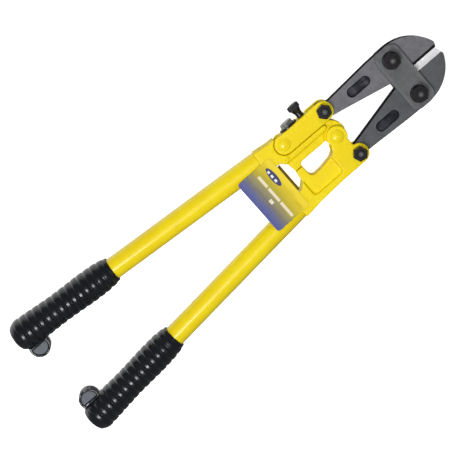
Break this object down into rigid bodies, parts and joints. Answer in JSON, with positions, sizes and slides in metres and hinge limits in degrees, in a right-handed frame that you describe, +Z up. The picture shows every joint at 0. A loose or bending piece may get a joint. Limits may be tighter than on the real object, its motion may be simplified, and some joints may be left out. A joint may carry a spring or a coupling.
{
  "type": "bolt cutters",
  "caption": "Hand bolt cutters with compound-lever jaws between side plates, a gap-adjusting arm, yellow tube handles and ribbed black grips.",
  "frame": {"origin": "on the centre pivot's axis, at the flat rear face of the pivot pin, on the surface that the tool lies on", "axes": "+X along the tool towards the jaw tips, +Y to the left handle with the adjusting arm, +Z up out of the surface"},
  "size_m": [0.4535, 0.1302, 0.0345],
  "materials": {
    "jaw_steel": "dark grey satin tool steel with bright ground bevels",
    "plate_steel": "dark grey satin steel plate",
    "black_oxide": "black oxide fasteners with a slight oil sheen",
    "zinc_steel": "grey zinc-plated steel",
    "yellow_paint": "bright yellow gloss enamel",
    "grip_rubber": "glossy black ribbed vinyl rubber",
    "label_card": null
  },
  "bodies": {
    "side_plates": {"side_plate_front": "plate_steel", "side_plate_rear": "plate_steel", "jaw_bolt_left": "black_oxide", "jaw_bolt_right": "black_oxide", "jaw_nut_left": "black_oxide", "jaw_nut_right": "black_oxide", "jaw_washers_front": "black_oxide", "jaw_washers_rear": "black_oxide"},
    "left_jaw": {"jaw_left": "jaw_steel"},
    "right_jaw": {"jaw_right": "jaw_steel"},
    "arm": {"adjusting_arm": "yellow_paint", "tail_bolt_left": "black_oxide", "tail_nut_left": "black_oxide", "lock_washer": "black_oxide"},
    "screw": {"adjusting_screw": "black_oxide"},
    "locking_bolt": {"lock_bolt": "zinc_steel"},
    "left_handle": {"handle_head_left": "yellow_paint", "arm_rivet": "yellow_paint", "handle_tube_left": "yellow_paint", "tube_pins_left": "yellow_paint", "grip_left": "grip_rubber"},
    "right_handle": {"handle_head_right": "yellow_paint", "centre_pivot_pin": "yellow_paint", "tail_bolt_right": "black_oxide", "tail_nut_right": "black_oxide", "handle_tube_right": "yellow_paint", "tube_pins_right": "yellow_paint", "grip_right": "grip_rubber", "label_card": "label_card"}
  },
  "joints": [
    {"name": "left_jaw_pivot", "type": "hinge", "parent": "side_plates", "child": "left_jaw", "pos_m": [0.0786, 0.0192, 0.015], "axis": [0, 0, 1], "range_deg": [0, 5.7]},
    {"name": "right_jaw_pivot", "type": "hinge", "parent": "side_plates", "child": "right_jaw", "pos_m": [0.0786, -0.0192, 0.015], "axis": [0, 0, -1], "range_deg": [0, 5.7]},
    {"name": "left_handle_pivot", "type": "hinge", "parent": "left_jaw", "child": "arm", "pos_m": [0.0054, 0.0246, 0.015], "axis": [0, 0, -1], "range_deg": [0, 41]},
    {"name": "right_handle_pivot", "type": "hinge", "parent": "right_jaw", "child": "right_handle", "pos_m": [0.0054, -0.0246, 0.015], "axis": [0, 0, 1], "range_deg": [0, 41.1]},
    {"name": "gap_adjust", "type": "hinge", "parent": "arm", "child": "left_handle", "pos_m": [-0.0395, 0.0252, 0.015], "axis": [0, 0, -1], "range_deg": [0, 1]},
    {"name": "adjusting_screw_turn", "type": "hinge", "parent": "arm", "child": "screw", "pos_m": [-0.012, 0.04, 0.015], "axis": [0, 1, 0], "range_deg": [0, 174]},
    {"name": "lock_bolt_turn", "type": "hinge", "parent": "arm", "child": "locking_bolt", "pos_m": [-0.0263, 0.034, 0.015], "axis": [0, 1, 0], "range_deg": [0, 90]}
  ],
  "couplings": [
    {"joint": "left_jaw_pivot", "follows": "left_handle_pivot", "ratio": 0.137},
    {"joint": "right_jaw_pivot", "follows": "left_handle_pivot", "ratio": 0.137},
    {"joint": "right_handle_pivot", "follows": "left_handle_pivot", "ratio": 1},
    {"joint": "adjusting_screw_turn", "follows": "gap_adjust", "ratio": 172.8}
  ]
}
